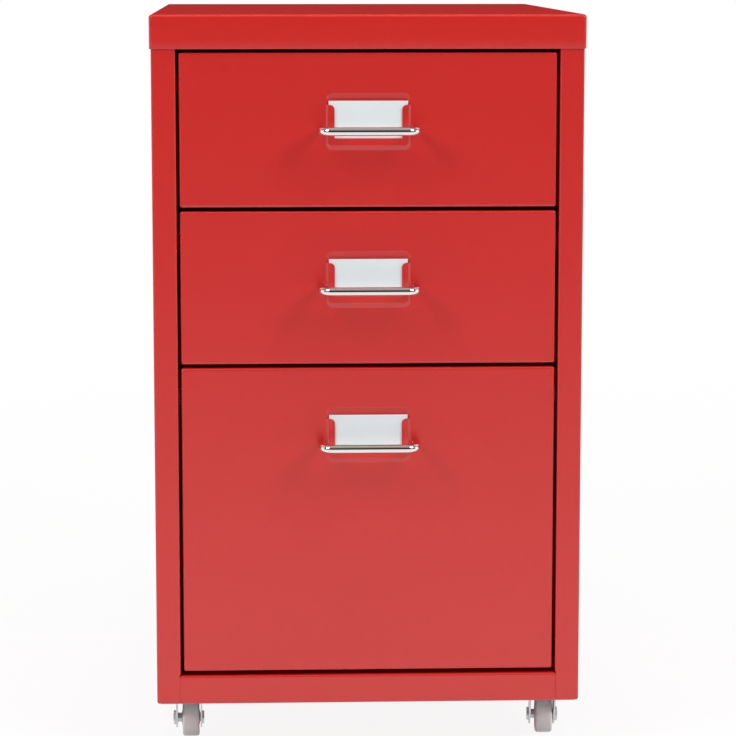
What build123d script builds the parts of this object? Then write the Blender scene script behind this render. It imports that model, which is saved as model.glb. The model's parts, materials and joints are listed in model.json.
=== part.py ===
from build123d import *
import os

# Rolling drawer cabinet of folded sheet steel: a case with a lipped top, two small drawers and one of
# double height, wire handles, label pockets pressed into the drawer fronts, and four swivel casters.
# Millimetres. +X is to the right, +Y to the back, +Z up. The origin is on the floor, under the middle
# of the whole object, from its handles to the heads of the screws in its back.

# Overall size
WIDTH = 280.0
DEPTH = 410.0
HEIGHT = 485.0
SHEET = 0.8
BEND = 1.5
PAST = 1.0  # how far a cut reaches past the sheet it goes through

# Case
CASTER_HEIGHT = 34.0
LIP = 22.0
CASE_INSET = 1.0
STILE = 15.7
STILE_RETURN = 30.0
RAIL_TOP_DEPTH = 12.0
BASE_CLEARANCE = 0.3
BACK_FLANGE = 18.0
BACK_FLANGE_INSET = 1.0

# Drawers
FRONT_GAP = 2.6
SIDE_GAP = 2.0
SMALL_FRONT = 99.2
LARGE_FRONT = 2 * SMALL_FRONT + FRONT_GAP
FRONT_TOP_GAP = 2.2
RAIL_GAP = 3.2
FRONT_INSET = 0.6
FRONT_DEPTH = 12.0
TRAY_HALF = 113.0
TRAY_DEPTH = 384.0
TRAY_TOP_DROP = 20.0
TRAY_BOTTOM_RISE = 8.0
TRAY_BEND = 2.0
FLOOR_FLANGE = 4.0
BACK_TAB = 8.0
TAB_BELOW_TOP = 4.0
TRAVEL = 300.0

# Runners and glides
RUNNER_HEIGHT = 11.0
RUNNER_HALF_GAP = 113.8
GLIDE_PLAY = 0.3
GLIDE_LENGTH = 30.0
GLIDE_FROM_WALL = 1.0
GLIDE_FROM_END = 1.0
RUNNER_START = 14.0
STOP_FROM_END = 1.0
STOP_FROM_EDGE = 0.7
STOP_GAP = 1.0
FLANGE_IN_RUNNER = 5.0
FLANGE_FROM_ENDS = 2.0

# Handles
WIRE = 5.6
HANDLE_SPACING = 61.0
HANDLE_REACH = 26.0
HANDLE_BEND = 7.0
HANDLE_DROP = 49.0
HANDLE_SCREW_RADIUS = 2.0

# Label pockets, measured down from the top edge of a drawer front
POCKET_TOP = 25.6
POCKET_WIDTH = 55.4
POCKET_HEIGHT = 37.0
POCKET_CORNER = 5.0
POCKET_END_SLOPE = 3.0
POCKET_SIDE_SLOPE = 1.3
LIP_RAISE = 1.4
LIP_WALL_INSET = 0.25
RELIEF = 1.4
RELIEF_WALL_GROW = 0.2
TONGUE_SIDE_GAP = 0.4
TONGUE_END_GAP = 0.5
LIPS_BELOW_TOP = 7.8
WINDOW_HALF = 21.75
WINDOW_BOTTOM = 29.2
WINDOW_CORNER = 3.0
CARD_WIDTH = 51.0
CARD_THICK = 0.35
CARD_BELOW_TOP = 5.2
CARD_HIDDEN = 1.8
CARD_CLEARANCE = 0.12

# Casters
CASTER_X = 119.0
AXLE_SETBACK = 50.0
SWIVEL_LEAD = 9.0
WHEEL_RADIUS = 12.5
WHEEL_WIDTH = 11.3
WHEEL_EDGE = 1.4
WHEEL_SHIFT = 1.2
RIM_THICK = 2.6
GROOVE_DEPTH = 2.2
HUB_RADIUS = 5.0
HUB_WIDTH = 12.0
AXLE_RADIUS = 2.5
RUNNING_FIT = 0.1
FORK_SHEET = 1.0
FORK_WIDTH = 17.4
FORK_END_RADIUS = 6.8
FORK_TOP = 31.0
FORK_TOP_HALF = 11.0
FORK_TOP_BAND = 4.0
WASHER_RADIUS = 9.0
PLATE_SHEET = 1.4
PLATE_SIZE = (34.0, 40.0)
PLATE_HOLES = (24.0, 30.0)
PLATE_CORNER = 4.0
KINGPIN_RADIUS = 3.0
CASTER_TURNS = {"front_left": 1.0, "front_right": -3.0, "rear_left": -6.0, "rear_right": 5.0}

# Fasteners: heads are (radius, thickness), nuts are (half width across flats, thickness)
SCREW_HOLE = 1.7
SCREW_SHANK = 1.65
SCREW_HEAD = (3.0, 1.6)
SCREW_LENGTH = 6.0
BACK_SCREW_FROM_BOTTOM = 30.0
BACK_SCREW_BELOW_LIP = 20.0
BASE_SCREW_FROM_BEND = 5.0
RIVET_RADIUS = 1.6
RIVET_HEAD = (2.6, 0.9)
RIVET_FROM_END = 4.0
HANDLE_SCREW_DEPTH = 9.0
HANDLE_HEAD = (3.6, 2.2)
CASTER_SCREW_RADIUS = 2.0
CASTER_HEAD = (3.4, 1.8)
CASTER_NUT = (3.5, 3.2)
KINGPIN_HEAD = (4.5, 1.1)
AXLE_HEAD = (4.3, 1.4)
AXLE_NUT = (4.2, 1.7)
AXLE_END = 0.3
SPACER_RADIUS = 3.1

# Positions that follow from the sizes
Y_HANDLE_OFFSET = HANDLE_REACH + WIRE / 2 - CASE_INSET - FRONT_INSET
WHOLE_DEPTH = Y_HANDLE_OFFSET + DEPTH + SCREW_HEAD[1]
Y_LIP = Y_HANDLE_OFFSET - WHOLE_DEPTH / 2
Y_END = Y_LIP + DEPTH
Y_CASE = Y_LIP + CASE_INSET
Y_BACK = Y_END - CASE_INSET
Y_FACE = Y_CASE + FRONT_INSET
CASE_HALF = WIDTH / 2 - CASE_INSET
OPENING_HALF = CASE_HALF - STILE
FRONT_HALF = OPENING_HALF - SIDE_GAP
BASE_HALF = CASE_HALF - BEND - SHEET - BASE_CLEARANCE
Z_BASE = CASTER_HEIGHT
Z_SIDE = Z_BASE + SHEET
Z_TOP = HEIGHT
TRAY_BACK = Y_FACE + SHEET + TRAY_DEPTH

# Drawers from the top down: name, top edge of the front, height of the front
FRONT_1_TOP = Z_TOP - LIP - FRONT_TOP_GAP
FRONT_2_TOP = FRONT_1_TOP - SMALL_FRONT - FRONT_GAP
FRONT_3_TOP = FRONT_2_TOP - SMALL_FRONT - FRONT_GAP
DRAWERS = (
    ("drawer_1", FRONT_1_TOP, SMALL_FRONT),
    ("drawer_2", FRONT_2_TOP, SMALL_FRONT),
    ("drawer_3", FRONT_3_TOP, LARGE_FRONT),
)
RAIL_TOP = FRONT_3_TOP - LARGE_FRONT - RAIL_GAP

# Casters: name, swivel axis
FRONT_SWIVEL_Y = Y_LIP + AXLE_SETBACK - SWIVEL_LEAD
REAR_SWIVEL_Y = Y_END - AXLE_SETBACK + SWIVEL_LEAD
CASTERS = {
    "front_left": (-CASTER_X, FRONT_SWIVEL_Y),
    "front_right": (CASTER_X, FRONT_SWIVEL_Y),
    "rear_left": (-CASTER_X, REAR_SWIVEL_Y),
    "rear_right": (CASTER_X, REAR_SWIVEL_Y),
}


def block(x, y, z):
    """A box between three pairs of low and high coordinates."""
    size = [high - low for low, high in (x, y, z)]
    middle = [(low + high) / 2 for low, high in (x, y, z)]
    return Pos(*middle) * Box(*size)


def rod(axis, radius, start, end, at):
    """A cylinder along "x", "y" or "z" from start to end; at holds the other two coordinates in order."""
    low, high = sorted((start, end))
    middle = (low + high) / 2
    solid = Cylinder(radius, high - low)
    if axis == "x":
        return Pos(middle, *at) * Rot(0, 90, 0) * solid
    if axis == "y":
        return Pos(at[0], middle, at[1]) * Rot(90, 0, 0) * solid
    return Pos(*at, middle) * solid


def edges_at(shape, **where):
    """Edges of a shape whose middle lies at the given x, y or z."""
    picked = shape.edges()
    for name, value in where.items():
        axis = {"x": Axis.X, "y": Axis.Y, "z": Axis.Z}[name]
        picked = picked.filter_by_position(axis, value - 0.01, value + 0.01)
    return picked


def folded_pan(x, y, z, open_axis, radius):
    """A sheet folded up round a box, open on the side that open_axis points to, with rounded bends."""
    shells = []
    for inset, bend in ((0.0, radius), (SHEET, radius - SHEET)):
        pairs = []
        for direction, pair in zip((Axis.X, Axis.Y, Axis.Z), (x, y, z)):
            along = open_axis.direction.dot(direction.direction)
            low = pair[0] + inset * (1 if along > -0.5 else -1)
            high = pair[1] - inset * (1 if along < 0.5 else -1)
            pairs.append((low, high))
        solid = block(*pairs)
        open_face = solid.faces().sort_by(open_axis)[-1]
        shells.append(fillet(solid.edges() - open_face.edges(), bend))
    return shells[0] - shells[1]


def mirrored(shape):
    """The same shape on the other side of the cabinet."""
    return mirror(shape, about=Plane.YZ)


def top_cap():
    """Top sheet with a lip turned down on all four sides."""
    cap = folded_pan(
        (-WIDTH / 2, WIDTH / 2), (Y_LIP, Y_END), (Z_TOP - LIP, Z_TOP), -Axis.Z, BEND
    )
    for at in cap_screw_places():
        cap -= rod("y", SCREW_HOLE, Y_END - 2 * SHEET, Y_END + SHEET, at)
    return cap


def side_panel():
    """Right side: one sheet folded into the side, the front stile with its return, and three flanges."""
    shells = []
    for inset, bend in ((0.0, BEND), (SHEET, BEND - SHEET)):
        solid = block(
            (OPENING_HALF + inset, CASE_HALF - inset),
            (Y_CASE + inset, Y_BACK - inset),
            (Z_SIDE + inset, Z_TOP - SHEET - inset),
        )
        bends = edges_at(solid, x=CASE_HALF - inset)
        bends += edges_at(solid, x=OPENING_HALF + inset, y=Y_CASE + inset)
        top = Z_TOP - SHEET - inset
        bends += edges_at(solid, y=Y_CASE + inset, z=top) + edges_at(solid, y=Y_BACK - inset, z=top)
        shells.append(fillet(bends, bend))
    panel = shells[0] - shells[1]
    inner = OPENING_HALF + SHEET
    panel -= block(
        (OPENING_HALF - PAST, inner),
        (Y_CASE + STILE_RETURN, Y_BACK - SHEET),
        (Z_SIDE + SHEET, Z_TOP - 2 * SHEET),
    )
    beside_rail = (0, RAIL_TOP + PAST)
    behind_stile = (Y_CASE + SHEET, Y_CASE + STILE_RETURN + PAST)
    panel -= block((OPENING_HALF - PAST, inner), (Y_CASE - PAST, Y_CASE + 2 * SHEET), beside_rail)
    panel -= block((OPENING_HALF - PAST, inner + BEND), behind_stile, beside_rail)
    panel -= block(
        (OPENING_HALF - PAST, CASE_HALF - SHEET - BEND),
        (Y_CASE + SHEET, Y_CASE + 3 * SHEET + BEND),
        (0, Z_SIDE + 2 * SHEET),
    )
    for y, z in side_hole_places():
        panel -= rod("x", RIVET_RADIUS, OPENING_HALF - PAST, inner + PAST, (y, z))
    for x, z in back_screw_places():
        panel -= rod("y", SCREW_HOLE, Y_BACK - 2 * SHEET, Y_BACK + PAST, (abs(x), z))
    for x, z in cap_screw_places():
        panel -= rod("y", SCREW_HOLE, Y_BACK - 2 * SHEET, Y_BACK + PAST, (abs(x), z))
    for x, y in base_screw_places():
        panel -= rod("z", SCREW_HOLE, Z_SIDE - PAST, Z_SIDE + SHEET + PAST, (abs(x), y))
    for x, y in caster_screw_places():
        panel -= rod("z", CASTER_SCREW_RADIUS, Z_SIDE - PAST, Z_SIDE + SHEET + PAST, (abs(x), y))
    return panel


def side_hole_places():
    """Rivets that hold the front end of each runner to the return of the stile."""
    places = []
    for _, top, _ in DRAWERS:
        z = runner_bottom(top) + RUNNER_HEIGHT / 2
        places += [(Y_CASE + RUNNER_START + RIVET_FROM_END, z), (Y_CASE + STILE_RETURN - RIVET_FROM_END, z)]
    return places


def back_screw_places():
    """Screws through the rear flanges of the sides into the back panel."""
    x = OPENING_HALF + STILE / 2
    low = Z_SIDE + BACK_SCREW_FROM_BOTTOM
    high = Z_TOP - LIP - BACK_SCREW_BELOW_LIP
    heights = (low, (low + high) / 2, high)
    return [(side * x, z) for side in (-1, 1) for z in heights]


def cap_screw_places():
    """Screws through the rear lip of the cap into the rear flanges."""
    x = OPENING_HALF + STILE / 2
    return [(side * x, Z_TOP - LIP / 2) for side in (-1, 1)]


def base_screw_places():
    """Screws up through the base into the bottom flanges of the sides."""
    x = CASE_HALF - BEND - BASE_SCREW_FROM_BEND
    span = Y_BACK - Y_CASE
    return [(side * x, Y_CASE + span * share) for side in (-1, 1) for share in (0.25, 0.5, 0.75)]


def caster_screw_places():
    """Four screws for each caster plate."""
    half_x, half_y = PLATE_HOLES[0] / 2, PLATE_HOLES[1] / 2
    return [
        (x + sx * half_x, y + sy * half_y)
        for x, y in CASTERS.values()
        for sx in (-1, 1)
        for sy in (-1, 1)
    ]


def runner_bottom(front_top):
    """Height of the underside of the runners of the drawer whose front has this top edge."""
    return front_top - TRAY_TOP_DROP - FLANGE_IN_RUNNER - SHEET


def back_panel():
    """Flat sheet in front of the rear flanges."""
    panel = block(
        (-CASE_HALF + SHEET + BEND, CASE_HALF - SHEET - BEND),
        (Y_BACK - 2 * SHEET, Y_BACK - SHEET),
        (Z_SIDE + SHEET + BEND, Z_TOP - 2 * SHEET - BEND),
    )
    for at in back_screw_places() + cap_screw_places():
        panel -= rod("y", SCREW_SHANK, Y_BACK - 3 * SHEET, Y_BACK, at)
    for at in tab_rivet_places():
        panel -= rod("y", RIVET_RADIUS, Y_BACK - 3 * SHEET, Y_BACK, at)
    return panel


def tab_rivet_places():
    """Rivets through the back panel into the rear tab of each runner."""
    x = OPENING_HALF - RUNNER_HEIGHT / 2
    places = []
    for _, top, _ in DRAWERS:
        z = runner_bottom(top) + RUNNER_HEIGHT / 2
        places += [(-x, z), (x, z)]
    return places


def bottom_panel():
    """Floor of the case, folded up at the front into the rail below the drawers and at the back."""
    shells = []
    for inset, bend in ((0.0, BEND), (SHEET, BEND - SHEET)):
        y = (Y_CASE + SHEET + inset, Y_CASE + SHEET + RAIL_TOP_DEPTH + inset)
        z = (Z_BASE + inset, RAIL_TOP - inset)
        solid = block((-BASE_HALF - inset, BASE_HALF + inset), y, z)
        bends = edges_at(solid, y=y[0], z=z[0]) + edges_at(solid, y=y[0], z=z[1])
        shells.append(fillet(bends, bend))
    panel = shells[0] - shells[1]
    y_end = Y_BACK - 2 * SHEET
    panel += block((-BASE_HALF, BASE_HALF), (Y_CASE + RAIL_TOP_DEPTH / 2, y_end), (Z_BASE, Z_SIDE))
    panel += block(
        (-OPENING_HALF + BACK_FLANGE_INSET, OPENING_HALF - BACK_FLANGE_INSET),
        (y_end - SHEET, y_end),
        (Z_BASE, Z_BASE + BACK_FLANGE),
    )
    for at in caster_screw_places():
        panel -= rod("z", CASTER_SCREW_RADIUS, Z_BASE - PAST, Z_SIDE + PAST, at)
    for at in base_screw_places():
        panel -= rod("z", SCREW_HOLE, Z_BASE - PAST, Z_SIDE + PAST, at)
    return panel


def runner(front_top):
    """Right runner: a channel open to the inside, with a tab at the rear end."""
    z = runner_bottom(front_top)
    start = Y_CASE + RUNNER_START
    end = Y_BACK - 2 * SHEET
    shells = []
    for inset, bend in ((0.0, BEND), (SHEET, BEND - SHEET)):
        x_web = OPENING_HALF - inset
        pair = (z + inset, z + RUNNER_HEIGHT - inset)
        solid = block((RUNNER_HALF_GAP - inset, x_web), (start - inset, end + inset), pair)
        bends = edges_at(solid, x=x_web, z=pair[0]) + edges_at(solid, x=x_web, z=pair[1])
        shells.append(fillet(bends, bend))
    channel = shells[0] - shells[1]
    channel += block(
        (OPENING_HALF - RUNNER_HEIGHT, OPENING_HALF - BEND / 2),
        (end - SHEET, end),
        (z + SHEET / 2, z + RUNNER_HEIGHT - SHEET / 2),
    )
    for y, z_rivet in side_hole_places():
        channel -= rod("x", RIVET_RADIUS, OPENING_HALF - 2 * SHEET, OPENING_HALF + PAST, (y, z_rivet))
    for x, z_rivet in tab_rivet_places():
        channel -= rod("y", RIVET_RADIUS, end - 2 * SHEET, end + PAST, (abs(x), z_rivet))
    return channel


def runner_stop(front_top):
    """Right front guide: a nylon block on the lower flange of the runner, which also stops the drawer."""
    z = runner_bottom(front_top)
    start = Y_CASE + RUNNER_START + STOP_FROM_END
    end = TRAY_BACK - GLIDE_FROM_END - GLIDE_LENGTH - STOP_GAP - TRAVEL
    top = z + FLANGE_IN_RUNNER - GLIDE_PLAY
    x = (RUNNER_HALF_GAP + STOP_FROM_EDGE, OPENING_HALF - SHEET)
    stop = block(x, (start, end), (z + SHEET, top))
    return fillet(stop.edges().filter_by(Axis.Y), SHEET)


def rear_glide(front_top):
    """Right rear glide: a nylon block round the rear end of the flange of the drawer."""
    z = runner_bottom(front_top)
    glide = block(
        (TRAY_HALF + GLIDE_FROM_WALL, OPENING_HALF - SHEET - GLIDE_PLAY),
        (TRAY_BACK - GLIDE_FROM_END - GLIDE_LENGTH, TRAY_BACK - GLIDE_FROM_END),
        (z + SHEET + GLIDE_PLAY, z + RUNNER_HEIGHT - SHEET - GLIDE_PLAY),
    )
    return fillet(glide.edges().filter_by(Axis.Y), SHEET) - tray_flange(front_top)


def tray_flange(front_top):
    """Right flange of a drawer, turned out at the top of its side."""
    z = front_top - TRAY_TOP_DROP
    return block(
        (TRAY_HALF - SHEET / 2, OPENING_HALF - SHEET - 2 * GLIDE_PLAY),
        (Y_FACE + FRONT_DEPTH + FLANGE_FROM_ENDS, TRAY_BACK - FLANGE_FROM_ENDS),
        (z - SHEET, z),
    )


def tray_heights(front_top, front_height):
    """Lower edge, floor and upper edge of the tray of a drawer."""
    floor = front_top - front_height + TRAY_BOTTOM_RISE + SHEET
    return floor - FLOOR_FLANGE, floor, front_top - TRAY_TOP_DROP


def tray_floor(front_top, front_height):
    """Floor of a drawer: a sheet with flanges turned down, which are welded to the front, sides and back."""
    low, floor, _ = tray_heights(front_top, front_height)
    half = TRAY_HALF - SHEET
    return folded_pan((-half, half), (Y_FACE + SHEET, TRAY_BACK - SHEET), (low, floor), -Axis.Z, TRAY_BEND)


def tray_back(front_top, front_height):
    """Back of a drawer: a sheet with a tab turned to the rear at each end."""
    low, _, top = tray_heights(front_top, front_height)
    shells = []
    for inset, bend in ((0.0, BEND), (SHEET, BEND - SHEET)):
        half = TRAY_HALF - SHEET - inset
        y = (TRAY_BACK - SHEET + inset, TRAY_BACK + BACK_TAB + inset)
        solid = block((-half, half), y, (low - inset, top + inset))
        shells.append(fillet(edges_at(solid, x=half, y=y[0]) + edges_at(solid, x=-half, y=y[0]), bend))
    return shells[0] - shells[1]


def tray_side(front_top, front_height):
    """Right side of a drawer: a sheet with a flange turned out at the top and a tab at the front."""
    low, _, top = tray_heights(front_top, front_height)
    y_front = Y_FACE + SHEET
    side = block((TRAY_HALF - SHEET, TRAY_HALF), (y_front, TRAY_BACK + BACK_TAB), (low, top))
    tab = block(
        (TRAY_HALF - SHEET / 2, FRONT_HALF - SHEET - BEND),
        (y_front, y_front + SHEET),
        (low, top - TAB_BELOW_TOP),
    )
    return side + tab + tray_flange(front_top)


def face_plane(front_top, below, forward=0.0):
    """Plane on a drawer front, x to the right and z to the front, at a distance below its top edge."""
    return Plane((0, Y_FACE - forward, front_top - below), x_dir=(1, 0, 0), z_dir=(0, -1, 0))


def pocket_frustum(front_top, base, tip, grow):
    """Rounded rectangle that narrows from the base depth to the tip depth, as a pressed form does."""
    middle = POCKET_TOP + POCKET_HEIGHT / 2
    width = POCKET_WIDTH + 2 * grow
    height = POCKET_HEIGHT + 2 * grow
    corner = POCKET_CORNER + grow
    wide = face_plane(front_top, middle, base) * RectangleRounded(width, height, corner)
    narrow = face_plane(front_top, middle, tip) * RectangleRounded(
        width - 2 * POCKET_SIDE_SLOPE,
        height - 2 * POCKET_END_SLOPE,
        corner - POCKET_SIDE_SLOPE,
    )
    return loft([wide, narrow], ruled=True)


def label_pocket(front_top):
    """Label pocket as three bodies: the hole in the sheet, the pressed-back relief and the raised lips."""
    middle = POCKET_TOP + POCKET_HEIGHT / 2
    outline = face_plane(front_top, middle, -SHEET) * RectangleRounded(
        POCKET_WIDTH, POCKET_HEIGHT, POCKET_CORNER
    )
    hole = extrude(outline, SHEET)
    z_lips = front_top - POCKET_TOP - LIPS_BELOW_TOP
    z_window = front_top - POCKET_TOP - WINDOW_BOTTOM
    depth = (Y_FACE - FRONT_DEPTH, Y_FACE + FRONT_DEPTH)
    above = block((-POCKET_WIDTH, POCKET_WIDTH), depth, (z_lips, front_top))
    below = block((-POCKET_WIDTH, POCKET_WIDTH), depth, (z_lips - POCKET_WIDTH, z_lips))
    window = block((-WINDOW_HALF, WINDOW_HALF), depth, (z_window, front_top))
    relief = hole + pocket_frustum(front_top, -SHEET, -SHEET - RELIEF, RELIEF_WALL_GROW)
    relief = (relief - pocket_frustum(front_top, 0, -RELIEF, 0)) & above
    relief += block(
        (-WINDOW_HALF + TONGUE_SIDE_GAP, WINDOW_HALF - TONGUE_SIDE_GAP),
        (Y_FACE + RELIEF, Y_FACE + RELIEF + SHEET),
        (z_window + TONGUE_END_GAP, z_lips + SHEET),
    )
    lips = hole + pocket_frustum(front_top, 0, LIP_RAISE, 0)
    lips -= pocket_frustum(front_top, -SHEET, LIP_RAISE - SHEET, -LIP_WALL_INSET)
    lips = (lips & below) - window
    corners = edges_at(lips, z=z_lips, x=WINDOW_HALF) + edges_at(lips, z=z_lips, x=-WINDOW_HALF)
    lips = fillet(corners.filter_by(Axis.Y), WINDOW_CORNER)
    return hole, relief, lips


def drawer_front(front_top, front_height):
    """Front of a drawer: a folded pan with the label pocket and the holes for the handle screws."""
    front = folded_pan(
        (-FRONT_HALF, FRONT_HALF),
        (Y_FACE, Y_FACE + FRONT_DEPTH),
        (front_top - front_height, front_top),
        Axis.Y,
        BEND,
    )
    hole, relief, lips = label_pocket(front_top)
    front = front - hole + relief + lips
    for x in (-HANDLE_SPACING / 2, HANDLE_SPACING / 2):
        at = (x, front_top - HANDLE_DROP)
        front -= rod("y", HANDLE_SCREW_RADIUS, Y_FACE - PAST, Y_FACE + 2 * SHEET, at)
    return front


def label_card(front_top):
    """Card in the pocket, free to slide straight up."""
    z_top = front_top - POCKET_TOP - CARD_BELOW_TOP
    z_low = front_top - POCKET_TOP - WINDOW_BOTTOM - CARD_HIDDEN
    y_lips = Y_FACE - LIP_RAISE + SHEET + CARD_CLEARANCE
    return block((-CARD_WIDTH / 2, CARD_WIDTH / 2), (y_lips, y_lips + CARD_THICK), (z_low, z_top))


def handle(front_top):
    """Wire handle: one round bar bent twice, with a threaded hole in each end."""
    half = HANDLE_SPACING / 2
    z = front_top - HANDLE_DROP
    path = FilletPolyline(
        (-half, Y_FACE, z),
        (-half, Y_FACE - HANDLE_REACH, z),
        (half, Y_FACE - HANDLE_REACH, z),
        (half, Y_FACE, z),
        radius=HANDLE_BEND,
    )
    section = Plane((-half, Y_FACE, z), z_dir=(0, -1, 0)) * Circle(WIRE / 2)
    bow = sweep(section, path=path)
    for x in (-half, half):
        bow -= rod("y", HANDLE_SCREW_RADIUS, Y_FACE - HANDLE_SCREW_DEPTH, Y_FACE + PAST, (x, z))
    return bow


def handle_screws(front_top):
    """Two pan-head screws from inside the drawer into the ends of the handle."""
    z = front_top - HANDLE_DROP
    inner = Y_FACE + SHEET
    radius, thick = HANDLE_HEAD
    screws = []
    for x in (-HANDLE_SPACING / 2, HANDLE_SPACING / 2):
        shank = rod("y", HANDLE_SCREW_RADIUS, Y_FACE - HANDLE_SCREW_DEPTH, inner + thick / 2, (x, z))
        screws.append(shank + rod("y", radius, inner, inner + thick, (x, z)))
    return screws


def pan_screw(axis, face, outward, at, length, shank=SCREW_SHANK, head=SCREW_HEAD):
    """Screw with its head on a face; outward is the sign of the direction that the head stands out in."""
    radius, thick = head
    crown = rod(axis, radius, face, face + outward * thick, at)
    return crown + rod(axis, shank, face + outward * thick / 2, face - outward * length, at)


def case_screws():
    """Screws of the back panel, of the cap and of the base."""
    screws = [pan_screw("y", Y_BACK, 1, at, SCREW_LENGTH) for at in back_screw_places()]
    screws += [pan_screw("y", Y_END, 1, at, SCREW_LENGTH) for at in cap_screw_places()]
    screws += [pan_screw("z", Z_BASE, -1, at, SCREW_LENGTH) for at in base_screw_places()]
    return screws


def runner_rivets():
    """Rivets at both ends of every runner, flush on the inside."""
    rivets = []
    for y, z in side_hole_places():
        outer = OPENING_HALF + SHEET
        right = pan_screw("x", outer, 1, (y, z), 2 * SHEET, RIVET_RADIUS, RIVET_HEAD)
        rivets += [right, mirrored(right)]
    for at in tab_rivet_places():
        rivets.append(pan_screw("y", Y_BACK - SHEET, 1, at, 2 * SHEET, RIVET_RADIUS, RIVET_HEAD))
    return rivets


def caster_plate(x, y):
    """Plate that holds a caster under the base."""
    z = (Z_BASE - PLATE_SHEET, Z_BASE)
    half_x, half_y = PLATE_SIZE[0] / 2, PLATE_SIZE[1] / 2
    plate = block((x - half_x, x + half_x), (y - half_y, y + half_y), z)
    plate = fillet(plate.edges().filter_by(Axis.Z), PLATE_CORNER)
    plate -= rod("z", KINGPIN_RADIUS, z[0] - PAST, z[1] + PAST, (x, y))
    for at in caster_screw_places():
        plate -= rod("z", CASTER_SCREW_RADIUS, z[0] - PAST, z[1] + PAST, at)
    return plate


def caster_screws():
    """Screws from below through the caster plates and the base, each with a nut inside the case."""
    pieces = []
    low = Z_BASE - PLATE_SHEET
    for x, y in caster_screw_places():
        on_flange = abs(x) > OPENING_HALF
        seat = Z_SIDE + SHEET if on_flange else Z_SIDE
        end = seat + CASTER_NUT[1]
        screw = pan_screw("z", low, -1, (x, y), end - low, CASTER_SCREW_RADIUS, CASTER_HEAD)
        hexagon = Plane((x, y, seat)) * RegularPolygon(CASTER_NUT[0], 6, major_radius=False)
        bore = rod("z", CASTER_SCREW_RADIUS, seat - PAST, end + PAST, (x, y))
        pieces += [screw, extrude(hexagon, CASTER_NUT[1]) - bore]
    return pieces


def kingpins():
    """Rivet of each caster, tight in the plate and free in the fork."""
    pins = []
    for at in CASTERS.values():
        seat = FORK_TOP - FORK_SHEET - RUNNING_FIT
        pins.append(pan_screw("z", seat, -1, at, Z_BASE - seat, KINGPIN_RADIUS, KINGPIN_HEAD))
    return pins


def swivel_washers():
    """Thrust washer between each plate and its fork."""
    low = FORK_TOP + RUNNING_FIT
    high = Z_BASE - PLATE_SHEET
    washers = []
    for at in CASTERS.values():
        ring = rod("z", WASHER_RADIUS, low, high, at)
        washers.append(ring - rod("z", KINGPIN_RADIUS, low - PAST, high + PAST, at))
    return washers


def caster_place(name):
    """Where a caster stands and how far it is turned about its swivel axis."""
    x, y = CASTERS[name]
    return Pos(x, y, 0) * Rot(0, 0, CASTER_TURNS[name])


def inner_side(name):
    """Sign of the direction from a caster to the middle of the cabinet."""
    return 1 if CASTERS[name][0] < 0 else -1


def fork():
    """Fork about its swivel axis: a folded strip whose two arms narrow down to the axle."""
    half = FORK_WIDTH / 2
    low = WHEEL_RADIUS - FORK_END_RADIUS
    reach = FORK_TOP_HALF + SWIVEL_LEAD + FORK_END_RADIUS
    outer = block((-half, half), (-reach, reach), (low, FORK_TOP))
    bends = edges_at(outer, x=half, z=FORK_TOP) + edges_at(outer, x=-half, z=FORK_TOP)
    outer = fillet(bends, 2 * FORK_SHEET)
    inner_half = half - FORK_SHEET
    inner = block(
        (-inner_half, inner_half), (-reach - PAST, reach + PAST), (low - PAST, FORK_TOP - FORK_SHEET)
    )
    bends = edges_at(inner, x=inner_half, z=FORK_TOP - FORK_SHEET)
    bends += edges_at(inner, x=-inner_half, z=FORK_TOP - FORK_SHEET)
    strip = outer - fillet(bends, FORK_SHEET)
    side = Plane((-half - PAST, 0, 0), x_dir=(0, 1, 0), z_dir=(1, 0, 0))
    end = Pos(SWIVEL_LEAD, WHEEL_RADIUS) * Circle(FORK_END_RADIUS)
    top = Pos(0, FORK_TOP - FORK_TOP_BAND / 2) * Rectangle(2 * FORK_TOP_HALF, FORK_TOP_BAND)
    outline = side * make_hull(end.edges() + top.edges())
    strip &= extrude(outline, FORK_WIDTH + 2 * PAST)
    strip -= rod("z", KINGPIN_RADIUS + RUNNING_FIT, FORK_TOP - 3 * FORK_SHEET, FORK_TOP + PAST, (0, 0))
    return strip - rod("x", AXLE_RADIUS, -half - PAST, half + PAST, (SWIVEL_LEAD, WHEEL_RADIUS))


def wheel():
    """Moulded wheel, off the middle of its fork: a rim, a thinner web and a hub that stands out."""
    left = WHEEL_SHIFT - WHEEL_WIDTH / 2
    right = WHEEL_SHIFT + WHEEL_WIDTH / 2
    at = (SWIVEL_LEAD, WHEEL_RADIUS)
    rim = rod("x", WHEEL_RADIUS, left, right, at)
    rim = fillet(edges_at(rim, x=left) + edges_at(rim, x=right), WHEEL_EDGE)
    for groove in ((left - PAST, left + GROOVE_DEPTH), (right - GROOVE_DEPTH, right + PAST)):
        ring = rod("x", WHEEL_RADIUS - RIM_THICK, *groove, at)
        rim -= ring - rod("x", HUB_RADIUS, *groove, at)
    hub = rod("x", HUB_RADIUS, WHEEL_SHIFT - HUB_WIDTH / 2, WHEEL_SHIFT + HUB_WIDTH / 2, at)
    bore = rod("x", AXLE_RADIUS + RUNNING_FIT, -HUB_WIDTH, HUB_WIDTH, at)
    return rim + hub - bore


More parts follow.
